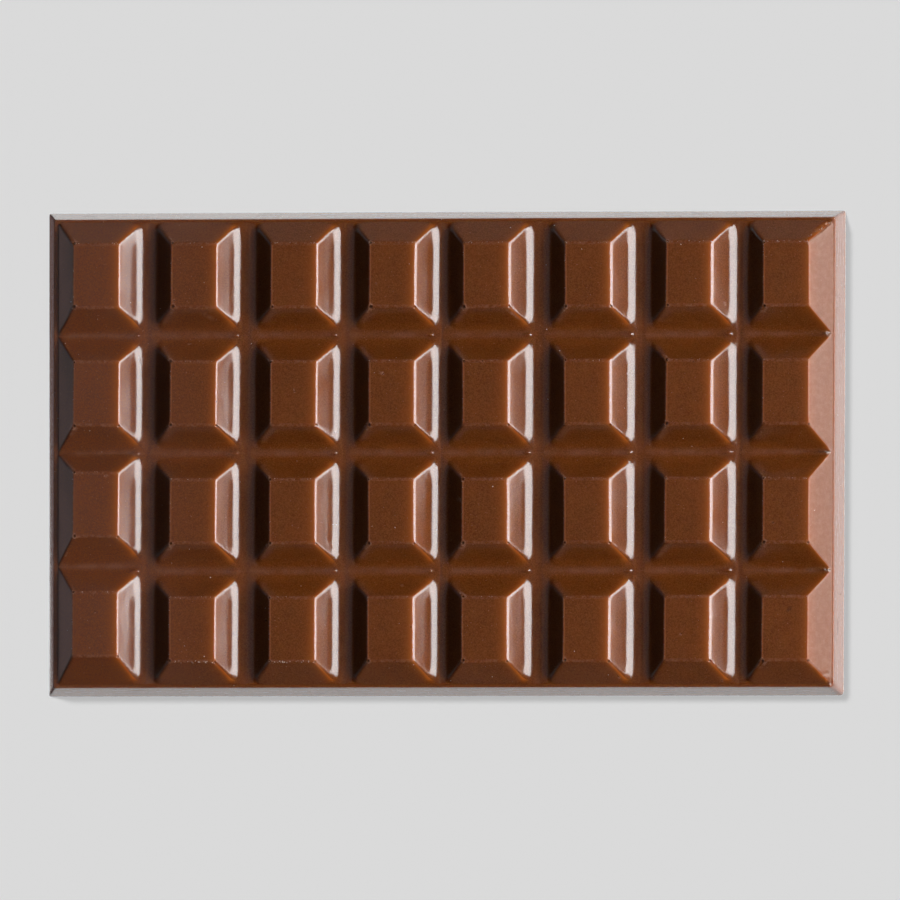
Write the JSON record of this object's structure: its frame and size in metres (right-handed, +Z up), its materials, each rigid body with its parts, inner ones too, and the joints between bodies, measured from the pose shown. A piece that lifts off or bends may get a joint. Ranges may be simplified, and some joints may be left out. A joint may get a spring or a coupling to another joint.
{
  "type": "chocolate bar",
  "caption": "Moulded milk chocolate tablet of bevelled rectangular blocks on a thin slab with drafted sides, lying on its flat back.",
  "frame": {"origin": "middle of the flat underside that the bar rests on", "axes": "+X along the bar's length, +Y across its width, +Z up through the tops of the blocks"},
  "size_m": [0.15, 0.0904, 0.0077],
  "materials": {
    "milk_chocolate": "glossy where it touched the mould, satin on the poured back"
  },
  "bodies": {
    "root": {"chocolate_bar": "milk_chocolate"}
  },
  "joints": []
}
